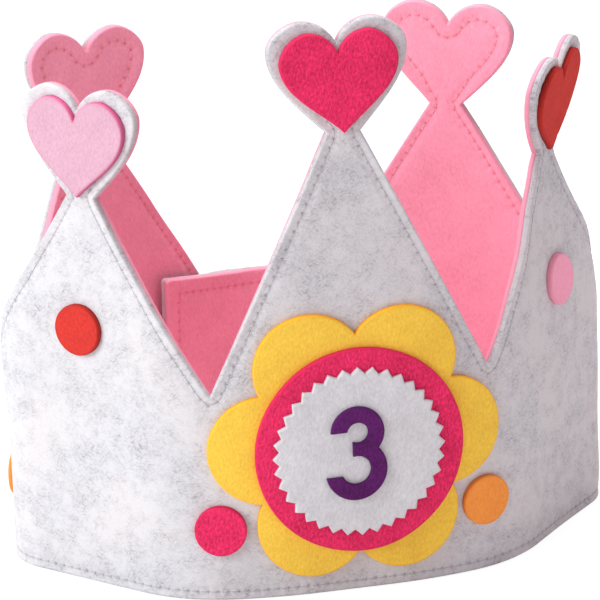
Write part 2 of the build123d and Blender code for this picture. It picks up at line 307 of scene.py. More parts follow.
class Strip:
    """The bent strip: where a place of the flat pattern comes to lie on the crown."""

    def __init__(self, scene):
        plan, points = scene.crown_plan, scene.crown_points
        lead = [
            (plan.front_flat, 0),
            (plan.shoulder_length, plan.shoulder_turn),
            (plan.corner_length, plan.corner_turn),
            (plan.side_flat, 0),
            (plan.end_length, plan.end_turn),
            (plan.back_curve_length, plan.back_curve_turn),
        ]
        bend_turn = pi - sum(angle for run, angle in lead)
        bend = (plan.back_bend_length, bend_turn)
        bend_radius = plan.back_bend_length / bend_turn
        back_flat = half_line(lead + [bend])[1][-1] / cos(bend_turn)
        loop_depth = half_line(lead + [(back_flat, 0), bend])[2][-1]
        stack = plan.felt + 2 * plan.patch + 2 * plan.thin_patch
        front_line = (loop_depth + plan.felt - stack) / 2
        outer_bend = plan.back_bend_length + plan.outer_end_length
        left = half_line(lead + [(back_flat, 0), (outer_bend, outer_bend / bend_radius)])
        tuck = 2 * plan.felt + 2 * plan.tape_thickness
        tuck_length = back_flat - plan.tuck_start
        tuck_turn = 2 * atan(tuck / tuck_length)
        tuck_arc = tuck_length / 2 / sin(tuck_turn) * tuck_turn
        tab_arc = ((bend_radius - tuck) * 2 * bend_turn, 2 * bend_turn)
        tucked = [(plan.tuck_start, 0), (tuck_arc, tuck_turn), (tuck_arc, -tuck_turn), tab_arc]
        right = half_line(lead + tucked + [(plan.tab_end_length, 0)])
        self.runs = np.concatenate([-left[0][:0:-1], right[0]])
        self.x = np.concatenate([-left[1][:0:-1], right[1]])
        self.y = np.concatenate([left[2][:0:-1], right[2]]) - front_line
        self.headings = np.concatenate([-left[3][:0:-1], right[3]])
        self.left_end, self.right_end = self.runs[0], self.runs[-1]
        self.overlap = outer_bend + plan.tab_end_length
        self.points, self.handling = points, scene.crown_handling
        self.stations = {name: (count - 2) * points.pitch for count, name in enumerate(POINT_NAMES)}
        self.rises = {name: points.front_rise if name == "front" else 0 for name in POINT_NAMES}

    def place(self, runs):
        """Places and headings on the middle line."""
        return [np.interp(runs, self.runs, values) for values in (self.x, self.y, self.headings)]

    def across(self, station, offset, reaches):
        """Runs of places that lie this far across a station's panel, on the surface at an offset."""
        near = station + np.linspace(-PANEL_REACH, PANEL_REACH, PANEL_PLACES)
        x, y, headings = self.place(near)
        x0, y0, heading = self.place(station)
        x, y = x + offset * np.sin(headings) - x0, y - offset * np.cos(headings) - y0
        return np.interp(reaches, x * cos(heading) + y * sin(heading), near)

    def wrap(self, runs, heights, offsets):
        """Where pattern places at offsets from the middle line come to lie, out of true by handling."""
        points, handling = self.points, self.handling
        over_valley = heights - points.valley_height
        waves = sum(
            np.sin(runs * 2 * pi / (along * MM) + heights * 2 * pi / (up * MM) + phase)
            for along, up, phase in WAVES
        )
        offsets = offsets + handling.wobble / 2 * waves * smooth_step(heights / WAVE_EASE)
        # The top of the left end's valley curls outwards, and the wall swells behind the right point
        curl = np.clip(heights / points.valley_height, 0, 1) ** 5
        curl *= 1 - smooth_step(over_valley / FLARE_FADE)
        curl *= np.exp(-(((runs + 1.5 * points.pitch) / FLARE_REACH) ** 2))
        swell = np.exp(-(((runs - SWELL_STATION) / SWELL_REACH) ** 2))
        swell *= 1 - smooth_step(over_valley / SWELL_FADE)
        offsets = offsets + handling.left_flare * curl + handling.right_swell * swell
        x, y, headings = self.place(runs)
        x, y = x + offsets * np.sin(headings), y - offsets * np.cos(headings)
        z = np.array(heights, float)
        # The tucked end creeps up towards its tip, and the outer end comes down
        tab = runs - self.right_end + TAB_REACH
        end = self.left_end - runs + END_REACH
        for reach, slope in ((tab, handling.tab_rise), (end, -handling.end_fall)):
            reach = np.clip(reach, 0, None)
            z += slope * reach * reach / (reach + END_EASE) * heights / points.end_height
        above = np.clip(over_valley, 0, None)
        above = above * above / (above + LEAN_EASE)
        settings = zip(POINT_NAMES, handling.leans, handling.slants, handling.bows, handling.twists)
        for name, lean, slant, bow, twist in settings:
            station = self.stations[name]
            over_neck = heights - points.neck_height - self.rises[name]
            side = runs - station
            inside = np.abs(side) <= points.pitch / 2
            beyond = np.clip(over_neck + BOW_START, 0, None)
            beyond = beyond * beyond / (beyond + BOW_EASE)
            turned = smooth_step((over_neck + TWIST_START) / TWIST_EASE)
            out = inside * (lean * above + bow * beyond + twist * side * turned)
            along = inside * slant * beyond
            heading = float(self.place(station)[2])
            x += out * sin(heading) + along * cos(heading)
            y += along * sin(heading) - out * cos(heading)
            z -= inside * slant * side * smooth_step(beyond / SLANT_EASE)
        return np.stack([x, y, z], 1)


# Flat patterns


def subdivided(corners, spacing):
    """A closed outline with its long edges divided."""
    corners = np.array(corners)
    found = []
    for start, stop in zip(corners, np.roll(corners, -1, 0)):
        count = max(1, ceil(np.linalg.norm(stop - start) / spacing))
        found.append(start + (stop - start) * (np.arange(count) / count)[:, None])
    return np.concatenate(found)


def hermite(start, stop, leave, arrive, count):
    """Cubic that leaves one place and arrives at another in given directions, without its last place."""
    start, stop, leave, arrive = (np.array(value, float) for value in (start, stop, leave, arrive))
    reach = np.linalg.norm(stop - start)
    t = (np.arange(count) / count)[:, None]
    parts = (2 * t**3 - 3 * t**2 + 1) * start + (3 * t**2 - 2 * t**3) * stop
    return parts + reach * ((t**3 - 2 * t**2 + t) * leave + (t**3 - t**2) * arrive)


def heart_half_line(points, tip_half, margin, rise):
    """Right half of a heart's outline from its tip or neck up to the notch, across and in height."""
    tip_height = points.neck_height + rise
    top = tip_height + points.heart_height - margin
    wide = points.heart_half - margin
    lobe = points.lobe_half * wide / points.heart_half
    flank, crown = (wide, top - points.lobe_drop), (lobe, top)
    lean = (sin(points.flank_lean), cos(points.flank_lean))
    radius = (lobe**2 + points.heart_notch**2) / (2 * points.heart_notch)
    sweep = np.linspace(0, np.arcsin(lobe / radius), 20)
    dip = np.stack([lobe - radius * np.sin(sweep), top - radius * (1 - np.cos(sweep))], 1)
    side = hermite((tip_half, tip_height), flank, lean, (0, 1), 44)
    return np.concatenate([side, hermite(flank, crown, (0, 1), (-1, 0), 24), dip])


def strip_outline(strip):
    """Outline of the whole strip: the band with its two ends, and the five points with their hearts."""
    points = strip.points
    valley, top = points.valley_height, points.end_height
    left_end, right_end = strip.left_end, strip.right_end
    turns = np.linspace(0, pi / 2, 6)
    corners = []
    ends = [(left_end, 0, pi), (right_end, 0, -pi / 2), (right_end, top, 0)]
    for x, z, start in ends + [(left_end, top, pi / 2)]:
        middle = np.array([x, z]) + CORNER_ROUND * np.array([1 if x < 0 else -1, 1 if z == 0 else -1])
        corners.append(middle + CORNER_ROUND * np.stack([np.cos(start + turns), np.sin(start + turns)], 1))
    outline = corners[:3]
    # The last points' outer sides end on the top of the strip's ends, which are higher than the valleys
    side = (points.pitch / 2 - points.neck_half) / (points.neck_height - valley)
    end_foot = (points.pitch / 2 - side * (top - valley), top)
    for name in reversed(POINT_NAMES):
        station = strip.stations[name]
        half = heart_half_line(points, points.neck_half, 0, strip.rises[name])
        whole = np.concatenate([half, half[-2::-1] * (-1, 1)])
        whole[:, 0] = strip.across(station, 0, whole[:, 0])
        foot = (points.pitch / 2, valley)
        if name == "back_right":
            foot = end_foot
        elif name == "front":
            foot = (points.pitch / 2 + points.valley_shift, valley)
        outline += [[(station + foot[0], foot[1])], whole]
    outline += [[(strip.stations["back_left"] - end_foot[0], top)], corners[3]]
    return subdivided(np.concatenate(outline), STRIP_STEP)


class Edge:
    """A closed outline, with fast measuring of places against it."""

    def __init__(self, outline):
        self.places = outline
        self.steps = np.roll(outline, -1, 0) - outline
        self.lengths = np.linalg.norm(self.steps, axis=1)
        self.tree = KDTree(len(outline))
        for count, place in enumerate(outline):
            self.tree.insert((*place, 0), count)
        self.tree.balance()

    def distance(self, places):
        """Distance of places from the outline."""
        nearest = np.array([self.tree.find((x, y, 0))[1] for x, y in places])
        found = np.full(len(places), np.inf)
        for at in (nearest - 1, nearest):
            step, apart = self.steps[at], places - self.places[at]
            share = np.clip((apart * step).sum(1) / self.lengths[at] ** 2, 0, 1)
            found = np.minimum(found, np.linalg.norm(apart - share[:, None] * step, axis=1))
        return found

    def inset(self, distance, keep=0.97):
        """Places in order inside the outline, at one distance or one for each, with fans at corners."""
        inward = np.stack([-self.steps[:, 1], self.steps[:, 0]], 1) / self.lengths[:, None]
        before = np.roll(inward, 1, 0)
        cross = before[:, 0] * inward[:, 1] - before[:, 1] * inward[:, 0]
        bend = np.arctan2(cross, (before * inward).sum(1))
        fans = np.where(bend < -0.35, 7, 1)
        anchors = np.repeat(self.places, fans, 0)
        share = np.concatenate([np.linspace(0, 1, count) if count > 1 else [0.5] for count in fans])
        angle = np.repeat(np.arctan2(before[:, 1], before[:, 0]), fans) + share * np.repeat(bend, fans)
        distance = np.repeat(np.broadcast_to(distance, len(fans)), fans)
        found = anchors + distance[:, None] * np.stack([np.cos(angle), np.sin(angle)], 1)
        return found[self.distance(found) > keep * distance]

    def contains(self, places):
        """Whether places are inside the outline."""
        inside = np.zeros(len(places), bool)
        ends = np.roll(self.places, -1, 0)
        for (x0, y0), (x1, y1) in zip(self.places, ends):
            if y0 != y1:
                crossed = (places[:, 1] > min(y0, y1)) & (places[:, 1] <= max(y0, y1))
                inside ^= crossed & (places[:, 0] < x0 + (places[:, 1] - y0) * (x1 - x0) / (y1 - y0))
        return inside

    def grid(self, spacing, margin):
        """Staggered places that fill the outline, clear of its edge."""
        low, high = self.places.min(0), self.places.max(0)
        rows = np.arange(low[1], high[1], spacing * 0.866)
        columns = np.arange(low[0], high[0], spacing)
        staggered = [(x + spacing / 2 * (count % 2), y) for count, y in enumerate(rows) for x in columns]
        places = np.array(staggered)
        places = places[self.contains(places)]
        return places[self.distance(places) > margin]

    def seam_holes(self, inset, pitch):
        """Needle holes of a seam that follows the outline at an inset."""
        line = self.inset(inset, 0.985)
        line = np.concatenate([line, line[:1]])
        runs = np.concatenate([[0], np.cumsum(np.linalg.norm(np.diff(line, axis=0), axis=1))])
        places = np.linspace(0, runs[-1], round(runs[-1] / pitch), endpoint=False)
        return np.stack([np.interp(places, runs, line[:, 0]), np.interp(places, runs, line[:, 1])], 1)


def triangles(outline, inner):
    """Places and triangles that fill an outline, with the outline's own places first."""
    count = len(outline)
    places = [Vector(place) for place in np.concatenate([outline, inner])]
    edges = [(at, (at + 1) % count) for at in range(count)]
    found, _, faces, origins, _, _ = delaunay_2d_cdt(places, edges, [], 1, 1e-8)
    order = {source: at for at, sources in enumerate(origins) for source in sources}
    found = np.array([tuple(place) for place in found])
    faces = np.array(faces)
    a, b, c = (found[faces[:, at]] for at in range(3))
    area = (b[:, 0] - a[:, 0]) * (c[:, 1] - a[:, 1]) - (b[:, 1] - a[:, 1]) * (c[:, 0] - a[:, 0])
    faces[area < 0] = faces[area < 0][:, ::-1]
    return found, faces[np.abs(area) > 1e-13], np.array([order[at] for at in range(count)])


def thinned(places, apart):
    """Places with no two in the same small square."""
    _, first = np.unique(np.round(places / apart).astype(int), axis=0, return_index=True)
    return places[np.sort(first)]


def link_mesh(name, places, faces, attributes):
    """A smooth mesh object with attributes on its vertices."""
    mesh = bpy.data.meshes.new(name)
    mesh.from_pydata(places.tolist(), [], faces)
    mesh.polygons.foreach_set("use_smooth", [True] * len(mesh.polygons))
    for label, values in attributes.items():
        kind, field = ("FLOAT_VECTOR", "vector") if values.ndim == 2 else ("FLOAT", "value")
        mesh.attributes.new(label, kind, "POINT").data.foreach_set(field, values.astype(np.float32).ravel())
    mesh.validate()
    piece = bpy.data.objects.new(name, mesh)
    bpy.context.scene.collection.objects.link(piece)
    return piece


def felt_sheet(name, strip, outline, low, high, rim, mesh, sewing=None, holes=None):
    """A cut felt sheet on the strip, between two offsets, with rounded edges and the groove of its seam."""
    rings, spacing, edge_share = mesh
    edge = Edge(outline)
    inner = np.concatenate([edge.inset(ring * MM) for ring in rings])
    if holes is not None:
        turns = np.arange(6) * pi / 3
        round_hole = HOLE_RADIUS * np.stack([np.cos(turns), np.sin(turns)], 1)
        inner = np.concatenate([holes, (holes[:, None] + round_hole).reshape(-1, 2), inner])
    inner = thinned(inner, CLOSEST_PLACES)
    inner = np.concatenate([inner, edge.grid(spacing * MM, (rings[-1] + spacing * 0.6) * MM)])
    flat, faces, border = triangles(outline, inner)
    back, back_faces, back_border = triangles(outline, edge.grid(BACK_SPACING, BACK_MARGIN))
    depth = edge.distance(flat)
    depth[border] = 0
    rounded = np.sqrt(1 - (1 - np.clip(depth / rim, 0, 1)) ** 2)
    offsets = low + (high - low) * (edge_share + (1 - edge_share) * rounded)
    seam = np.zeros(len(flat))
    if holes is not None:
        tree = KDTree(len(holes))
        for count, hole in enumerate(holes):
            tree.insert((*hole, 0), count)
        tree.balance()
        apart = np.array([tree.find((x, y, 0))[2] for x, y in flat])
        outside = 1 if high > low else -1
        aside = np.clip(apart - sewing.pitch / 3, 0, None)
        groove = np.exp(-((aside / sewing.groove_width) ** 2))
        seam = np.exp(-((apart / HOLE_SPREAD) ** 2))
        offsets -= outside * (sewing.groove_depth * groove + sewing.hole_depth * seam)
    total = np.concatenate([flat, back])
    offsets = np.concatenate([offsets, np.full(len(back), low)])
    border_next, back_next = np.roll(border, -1), np.roll(back_border, -1)
    back_border, back_next = back_border + len(flat), back_next + len(flat)
    sides = np.stack([border_next, border, back_border, back_next], 1)
    turned = (back_faces + len(flat))[:, ::-1]
    if high < low:
        faces, turned, sides = faces[:, ::-1], turned[:, ::-1], sides[:, ::-1]
    places = strip.wrap(total[:, 0], total[:, 1], offsets)
    # The rim and seam masks mark where the materials paint shade on the cut edges and at the needle holes
    attributes = {
        "pattern": np.concatenate([total, offsets[:, None]], 1),
        "rim": np.concatenate([np.exp(-depth / RIM_FADE), np.ones(len(back))]),
        "seam": np.concatenate([seam, np.zeros(len(back))]),
    }
    return link_mesh(name, places, faces.tolist() + turned.tolist() + sides.tolist(), attributes)


def seam_thread(name, strip, holes, base, outside, thread):
    """All stitches of a seam as short arched threads that dive into the needle holes."""
    sections, corners = 8, 6
    share = np.linspace(0.03, 0.97, sections)
    arch = np.sin(pi * share)
    start, stop = holes, np.roll(holes, -1, 0)
    near = np.linalg.norm(stop - start, axis=1) < LONGEST_STITCH
    start, stop = start[near], stop[near]
    step = stop - start
    across = np.stack([-step[:, 1], step[:, 0]], 1) / np.linalg.norm(step, axis=1)[:, None]
    angle = np.arange(corners) * 2 * pi / corners
    radius = thread / 2 * (0.7 + 0.3 * arch)
    middle = start[:, None] + step[:, None] * share[None, :, None]
    side = radius[None, :, None] * np.cos(angle)[None, None, :]
    flat = middle[:, :, None] + side[..., None] * across[:, None, None]
    rise = base + outside * (STITCH_LIFT * arch**0.7 - STITCH_DIVE)[None, :, None]
    offsets = rise + outside * radius[None, :, None] * np.sin(angle)[None, None, :]
    offsets = np.broadcast_to(offsets, flat.shape[:3])
    places = strip.wrap(flat[..., 0].ravel(), flat[..., 1].ravel(), offsets.ravel())
    count = sections * corners
    ring = np.arange(corners)
    quads = []
    for at in range(sections - 1):
        a, b = at * corners + ring, at * corners + (ring + 1) % corners
        quads.append(np.stack([a, b, b + corners, a + corners], 1))
    quads = np.concatenate(quads)
    if outside < 0:
        quads = quads[:, ::-1]
    quads = (quads[None] + count * np.arange(len(start))[:, None, None]).reshape(-1, 4)
    pattern = np.concatenate([flat.reshape(-1, 2), offsets.reshape(-1, 1)], 1)
    along = np.broadcast_to(share[None, :, None], flat.shape[:3]).ravel()
    return link_mesh(name, places, quads.tolist(), {"pattern": pattern, "along": along})


# Materials


def add(tree, kind, inputs=None, take=0, **settings):
    """Adds a shader node with settings and with inputs linked or set, and gives one of its outputs."""
    node = tree.nodes.new(f"ShaderNode{kind}")
    for label, value in settings.items():
        setattr(node, label, value)
    for socket, value in (inputs or {}).items():
        if isinstance(value, bpy.types.NodeSocket):
            tree.links.new(value, node.inputs[socket])
        else:
            node.inputs[socket].default_value = value
    return node.outputs[take] if node.outputs else None


def blank(name):
    """A new material with an empty node tree."""
    material = bpy.data.materials.new(name)
    material.use_nodes = True
    material.node_tree.nodes.clear()
    return material, material.node_tree


def opaque(value):
    """A colour with full alpha."""
    return (*value, 1)


def shade(value, share):
    """A colour made darker or lighter by a share."""
    return opaque([min(1, part * share) for part in value])


def felt_marks(tree):
    """What a felt's mesh tells its material: place on the flat pattern, and the cut edges and needle holes
    where shade is painted.
    """
    pattern = add(tree, "Attribute", take="Vector", attribute_name="pattern")
    rim = add(tree, "Attribute", take="Fac", attribute_name="rim")
    return pattern, rim, add(tree, "Attribute", take="Fac", attribute_name="seam")


def fibres(tree, pattern, angle, size, detail, distortion=0.0):
    """Noise drawn out to strokes of a real size in millimetres, laid at an angle in degrees."""
    lay = {"Vector": pattern, "Rotation": (0, 0, radians(angle)), "Scale": [part * MM for part in size]}
    turned = add(tree, "Mapping", lay, vector_type="TEXTURE")
    noise = {"Vector": turned, "Scale": 1.0, "Detail": detail, "Distortion": distortion}
    return add(tree, "TexNoise", noise)


def finish_surface(tree, settings, height=None, strength=0.0, depth=0.0):
    """Ends a material with a principled surface, bumped where a height is given."""
    if height is not None:
        bump = {"Height": height, "Strength": strength, "Distance": depth}
        settings = {**settings, "Normal": add(tree, "Bump", bump)}
    add(tree, "OutputMaterial", {"Surface": add(tree, "BsdfPrincipled", settings)})


def mottled_felt(colours):
    """Needled wool-blend felt in grey melange.

    White fibres with dark grey ones blown through them: the eye sees short dark strokes that gather
    in clouds.
    """
    material, tree = blank("grey melange needled felt")
    pattern, rim, seam = felt_marks(tree)
    # Short strokes about 0.6 mm wide and 2 mm long, laid in three directions
    lays = ((8, 0.6), (52, 0.55), (-40, 0.65))
    hairs, *others = [fibres(tree, pattern, angle, (2.0, width, 2.0), 2.0, 0.7) for angle, width in lays]
    for other in others:
        hairs = add(tree, "Math", {0: hairs, 1: other}, operation="MAXIMUM")
    # Dark fibres gather in ragged clouds about 6 mm across, and those in drifts of 30 mm
    ragged = {"Vector": pattern, "Scale": 1 / (6 * MM), "Detail": 4.0, "Roughness": 0.62}
    cloud = add(tree, "TexNoise", ragged)
    drift = add(tree, "TexNoise", {"Vector": pattern, "Scale": 1 / (30 * MM), "Detail": 1.0})
    gather = add(tree, "Math", {0: drift, 1: 0.5, 2: cloud}, operation="MULTIPLY_ADD")
    level = add(tree, "MapRange", {"Value": gather, "From Min": 0.62, "From Max": 1.0})
    dark = add(tree, "MapRange", {"Value": hairs, "From Min": 0.53, "From Max": 0.74})
    # Shares of dark fibre in the clouds, everywhere and as a veil, and of painted shade at the needle holes
    # and on the cut edges
    clouded, everywhere, veil, hole_shade, edge_shade = 0.54, 0.125, 0.16, 0.75, 0.3
    gathered = add(tree, "Math", {0: level, 1: clouded, 2: everywhere}, operation="MULTIPLY_ADD")
    fleck = add(tree, "Math", {0: dark, 1: gathered}, operation="MULTIPLY")
    haze = add(tree, "Math", {0: level, 1: veil, 2: fleck}, operation="MULTIPLY_ADD")
    # Painted shade: needle holes and cut edges are darkened towards the fleck colour, which keeps the lit
    # edges from going white
    hole_shaded = add(tree, "Math", {0: seam, 1: hole_shade, 2: haze}, operation="MULTIPLY_ADD")
    darkened = add(tree, "Math", {0: rim, 1: edge_shade, 2: hole_shaded}, operation="MULTIPLY_ADD", use_clamp=True)
    # The white fibres are a little bluer in some drifts
    bluer = add(tree, "MapRange", {"Value": drift, "From Min": 0.4, "From Max": 0.6})
    cool = opaque([part * share for part, share in zip(colours.grey, (0.97, 1.0, 1.01))])
    pale = add(tree, "Mix", {0: bluer, 6: opaque(colours.grey), 7: cool}, 2, data_type="RGBA")
    mixed = add(tree, "Mix", {0: darkened, 6: pale, 7: opaque(colours.grey_fleck)}, 2, data_type="RGBA")
    grain = add(tree, "TexNoise", {"Vector": pattern, "Scale": 1 / (0.8 * MM), "Detail": 2.0})
    height = add(tree, "Math", {0: hairs, 1: 0.6, 2: grain}, operation="MULTIPLY_ADD")
    surface = {"Base Color": mixed, "Roughness": 0.95, "Specular IOR Level": 0.2}
    finish_surface(tree, surface, height, 0.5, FELT_NAP)
    return material


def dyed_felt(name, value, edge, contrast, creases=0.0, holes="#000000"):
    """Pressed polyester felt dyed in one colour; painted shade on the cut edge has its own colour or a
    share of the face's.

    The eye sees an even matt colour with a fine fibrous grain. Painted shade darkens the needle holes and
    the cut edge, where it also paints the deeper colour of bounced light.
    """
    material, tree = blank(name)
    pattern, rim, seam = felt_marks(tree)
    # Fibre grain about 0.7 mm wide and 1.3 mm long, over a soft unevenness of 7 mm
    grain = fibres(tree, pattern, 78, (1.3, 0.7, 1.0), 3.0, 0.5)
    cloud = add(tree, "TexNoise", {"Vector": pattern, "Scale": 1 / (7 * MM), "Detail": 2.0})
    uneven = add(tree, "Math", {0: cloud, 1: 0.4, 2: grain}, operation="MULTIPLY_ADD")
    tone = add(tree, "MapRange", {"Value": uneven, "From Min": 0.45, "From Max": 0.95})
    tones = {0: tone, 6: shade(value, 1 - contrast), 7: shade(value, 1 + contrast)}
    face = add(tree, "Mix", tones, 2, data_type="RGBA")
    # Painted shade on the cut edge, then painted shade at the needle holes
    cut = opaque(linear(edge)) if isinstance(edge, str) else shade(value, edge)
    edge_shaded = add(tree, "Mix", {0: rim, 6: face, 7: cut}, 2, data_type="RGBA")
    hole_shaded = add(tree, "Math", {0: seam, 1: 0.8}, operation="MULTIPLY")
    mixed = add(tree, "Mix", {0: hole_shaded, 6: edge_shaded, 7: opaque(linear(holes))}, 2, data_type="RGBA")
    height = grain
    if creases:
        # Slanting press marks about 2 mm wide and 12 mm long
        marks = fibres(tree, pattern, 68, (13.0, 2.4, 5.0), 1.0)
        height = add(tree, "Math", {0: marks, 1: creases, 2: grain}, operation="MULTIPLY_ADD")
    surface = {"Base Color": mixed, "Roughness": 0.92, "Specular IOR Level": 0.1}
    surface.update({"Sheen Weight": 0.02, "Sheen Roughness": 0.5})
    finish_surface(tree, surface, height, 0.4, FELT_NAP)
    return material


def patch_felt(colours, slot):
    """The dyed felt of a patch's slot, made when it is first asked for."""
    setting, edge, contrast = PATCH_FELTS[slot]
    name = setting.replace("_", " ") + " pressed felt"
    return bpy.data.materials.get(name) or dyed_felt(name, getattr(colours, setting), edge, contrast)


def spun_thread(name, value):
    """Spun polyester sewing thread: fine slanting plies with a slight gloss."""
    material, tree = blank(name)
    along = add(tree, "Attribute", take="Fac", attribute_name="along")
    # Plies turn about once in 0.8 mm, four times in a stitch
    ply = add(tree, "Math", {0: along, 1: 25.0}, operation="MULTIPLY")
    wave = add(tree, "Math", {0: ply}, operation="SINE")
    tone = add(tree, "MapRange", {"Value": wave, "From Min": -1.0, "From Max": 1.0})
    mixed = add(tree, "Mix", {0: tone, 6: shade(value, 0.8), 7: shade(value, 1.1)}, 2, data_type="RGBA")
    surface = {"Base Color": mixed, "Roughness": 0.6, "Specular IOR Level": 0.35, "Sheen Weight": 0.1}
    finish_surface(tree, surface)
    return material


def closure_tape(colours):
    """Woven nylon fastening tape: a close field of small hooks or loops that reads as a fine rough pile."""
    material, tree = blank("woven nylon fastening tape")
    pattern = add(tree, "Attribute", take="Vector", attribute_name="pattern")
    # Hooks and loops stand about 1 mm apart
    pile = add(tree, "TexVoronoi", {"Vector": pattern, "Scale": 1 / (1.0 * MM)}, "Distance")
    tones = {0: pile, 6: opaque(colours.tape), 7: shade(colours.tape, 0.6)}
    mixed = add(tree, "Mix", tones, 2, data_type="RGBA")
    finish_surface(tree, {"Base Color": mixed, "Roughness": 0.7}, pile, 0.8, 0.5 * MM)
    return material


def dress(piece, node, material):
    """Gives a felt or tape piece its material, hangs it on the root body and hides its node's imported
    part.
    """
    piece.data.materials.append(material)
    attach(piece, "root")
    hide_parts(node)


def add_patch(scene, strip, node, slot, station, low, thickness, outline, under):
    """Makes a felt patch on another piece, from an outline across a station's panel and in height."""
    outline = np.array(outline, float)
    outline[:, 0] = strip.across(station, low + thickness / 2, outline[:, 0])
    # The patch is pressed a little into the felt under it
    sunk, rim = low - PATCH_SUNK, scene.crown_sewing.patch_rim
    piece = felt_sheet(f"{node}_patch", strip, outline, sunk, low + thickness, rim, PATCH_MESH)
    dress(piece, node, patch_felt(scene.crown_colours, slot))


# Operators


class CROWN_OT_strip(bpy.types.Operator):
    """Make the two felt layers of the strip and the seams that join them"""

    bl_idname = "crown.strip"
    bl_label = "Felt strip"

    def execute(self, context):
        scene = context.scene
        points, sewing, colours = scene.crown_points, scene.crown_sewing, scene.crown_colours
        strip = Strip(scene)
        outline = strip_outline(strip)
        # The seam keeps further in on the hearts and at the strip's two ends
        necks = np.full(len(outline), points.neck_height)
        necks[np.abs(outline[:, 0]) < points.pitch / 2] += points.front_rise
        high = smooth_step((outline[:, 1] - necks) / SEAM_HEART_EASE)
        past = np.abs(outline[:, 0]) - 2.5 * points.pitch + SEAM_END_LEAD
        further = np.maximum(high, smooth_step(past / SEAM_END_EASE))
        insets = sewing.inset + (sewing.end_inset - sewing.inset) * further
        holes = Edge(outline).seam_holes(insets, sewing.pitch)
        lining = dyed_felt("pink pressed lining felt", colours.lining, *LINING_FELT)
        layers = [
            ("outer_felt", 1, "grey_felt", mottled_felt(colours), colours.grey_thread),
            ("inner_lining", -1, "pink_lining_felt", lining, colours.coral_thread),
        ]
        for node, outside, slot, material, thread_colour in layers:
            face = outside * scene.crown_plan.felt
            name, rim = f"{node}_sheet", sewing.strip_rim
            sheet = felt_sheet(name, strip, outline, 0, face, rim, STRIP_MESH, sewing, holes)
            base = face - outside * sewing.groove_depth
            thread = seam_thread(f"{node}_seam", strip, holes, base, outside, sewing.thread)
            thread.data.materials.append(spun_thread(f"{node} spun polyester thread", thread_colour))
            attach(thread, "root")
            dress(sheet, node, material)
        return {"FINISHED"}


class CROWN_OT_hearts(bpy.types.Operator):
    """Make the felt heart on each point"""

    bl_idname = "crown.hearts"
    bl_label = "Hearts"

    def execute(self, context):
        scene = context.scene
        plan, points = scene.crown_plan, scene.crown_points
        strip = Strip(scene)
        slots = ("red_felt", "pale_pink_felt", "raspberry_felt", "red_felt", "pale_pink_felt")
        for name, slot in zip(POINT_NAMES, slots):
            half = heart_half_line(points, 0, points.heart_margin, strip.rises[name])
            outline = subdivided(np.concatenate([half, half[-2:0:-1] * (-1, 1)]), HEART_STEP)
            place = (strip.stations[name], plan.felt, plan.patch)
            add_patch(scene, strip, f"heart_{name}", slot, *place, outline, "outer_felt")
        return {"FINISHED"}


def ring_outline(radius, height, count):
    """A circle about a place on the panel's middle line."""
    angle = np.arange(count) * 2 * pi / count
    return np.stack([radius * np.cos(angle), height + radius * np.sin(angle)], 1)


class CROWN_OT_dots(bpy.types.Operator):
    """Make the felt dots under the points and under the valleys"""

    bl_idname = "crown.dots"
    bl_label = "Dots"

    def execute(self, context):
        scene = context.scene
        plan, points = scene.crown_plan, scene.crown_points
        strip = Strip(scene)
        # Each dot's place in pitches from the front's middle, and its shift from there
        dots = [
            ("dot_left_point", -1, points.left_dot_shift, points.high_dot, "red_felt"),
            ("dot_right_point", 1, 0, points.high_dot, "pink_felt"),
            ("dot_back_left_point", -2, 0, points.high_dot, "pink_felt"),
            ("dot_back_right_point", 2, 0, points.high_dot, "red_felt"),
            ("dot_front_left_valley", -0.5, points.front_left_dot_shift, points.low_dot, "raspberry_felt"),
            ("dot_front_right_valley", 0.5, 0, points.low_dot, "orange_felt"),
            ("dot_left_end_valley", -1.5, points.left_end_dot_shift, points.low_dot, "orange_felt"),
            ("dot_right_end_valley", 1.5, 0, points.low_dot, "raspberry_felt"),
        ]
        for node, pitches, shift, height, slot in dots:
            outline = ring_outline(points.dot_radius, height, DOT_SIDES)
            place = (pitches * points.pitch + shift, plan.felt, plan.patch)
            add_patch(scene, strip, node, slot, *place, outline, "outer_felt")
        return {"FINISHED"}


def flower_outline(flower):
    """Outline of the round petals about the flower's middle."""
    half = pi / flower.petals
    # Neighbouring petals meet at the angle half way between them
    aside = flower.petal_ring * sin(half)
    meet = flower.petal_ring * cos(half) + (flower.petal_radius**2 - aside**2) ** 0.5
    x, y = meet * cos(half) - flower.petal_ring, meet * sin(half)
    reach = np.arctan2(y, x)
    sweep = np.linspace(-reach, reach, 60)
    found = []
    for count in range(flower.petals):
        angle = 2 * half * count
        petal_x = flower.petal_ring + flower.petal_radius * np.cos(sweep[:-1])
        petal_y = flower.petal_radius * np.sin(sweep[:-1])
        x = petal_x * cos(angle) - petal_y * sin(angle)
        y = petal_x * sin(angle) + petal_y * cos(angle)
        found.append(np.stack([x, flower.height + y], 1))
    return subdivided(np.concatenate(found), FLOWER_STEP)


def zigzag_outline(flower):
    """Outline of a disc cut with pinking shears."""
    count = np.arange(2 * flower.pinked_teeth)
    radius = flower.pinked_radius - flower.pinked_depth * (count % 2)
    angle = pi * count / flower.pinked_teeth
    corners = np.stack([radius * np.cos(angle), flower.disc_height + radius * np.sin(angle)], 1)
    return subdivided(corners, ZIGZAG_STEP)


